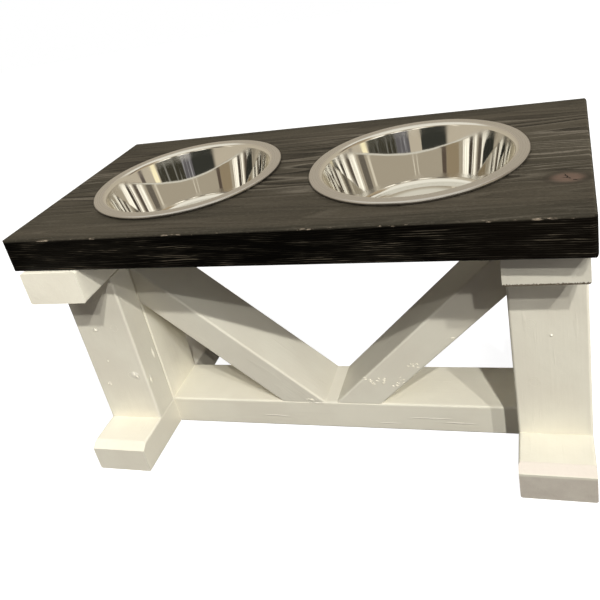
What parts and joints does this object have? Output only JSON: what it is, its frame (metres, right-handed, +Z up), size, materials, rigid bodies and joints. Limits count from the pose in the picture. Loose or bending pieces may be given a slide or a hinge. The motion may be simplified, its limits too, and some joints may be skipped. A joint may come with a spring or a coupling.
{
  "type": "elevated dog feeder",
  "caption": "Raised pet feeder: a dark stained plank with lift-out steel bowls on a white painted trestle base with a V brace.",
  "frame": {"origin": "on the floor, under the middle of the top board", "axes": "+X along the feeder to the right, +Y to the back, +Z up"},
  "size_m": [0.583, 0.3074, 0.3151],
  "materials": {
    "dark_stain": "dark weathered stain, worn along the front edge",
    "white_paint": "warm white satin paint, brushed, with small chips",
    "bowl_steel": "polished inside, satin on the rim",
    "zinc": "zinc plated"
  },
  "bodies": {
    "stand": {"top_board": "dark_stain", "left_bearer": "white_paint", "right_bearer": "white_paint", "left_leg_face": "white_paint", "right_leg_face": "white_paint", "left_leg_post": "white_paint", "right_leg_post": "white_paint", "left_foot": "white_paint", "right_foot": "white_paint", "stretcher": "white_paint", "left_brace": "white_paint", "right_brace": "white_paint", "leg_plugs": "white_paint", "leg_screws": "zinc", "bearer_screws": "zinc", "foot_screws": "zinc", "top_screws": "zinc", "stretcher_screws": "zinc", "brace_foot_screws": "zinc", "brace_head_screws": "zinc"},
    "left_bowl": {"left_bowl": "bowl_steel"},
    "right_bowl": {"right_bowl": "bowl_steel"}
  },
  "joints": [
    {"name": "left_bowl_lift", "type": "slide", "parent": "stand", "child": "left_bowl", "axis": [0, 0, 1], "range_m": [0, 0.12]},
    {"name": "right_bowl_lift", "type": "slide", "parent": "stand", "child": "right_bowl", "axis": [0, 0, 1], "range_m": [0, 0.12]}
  ]
}
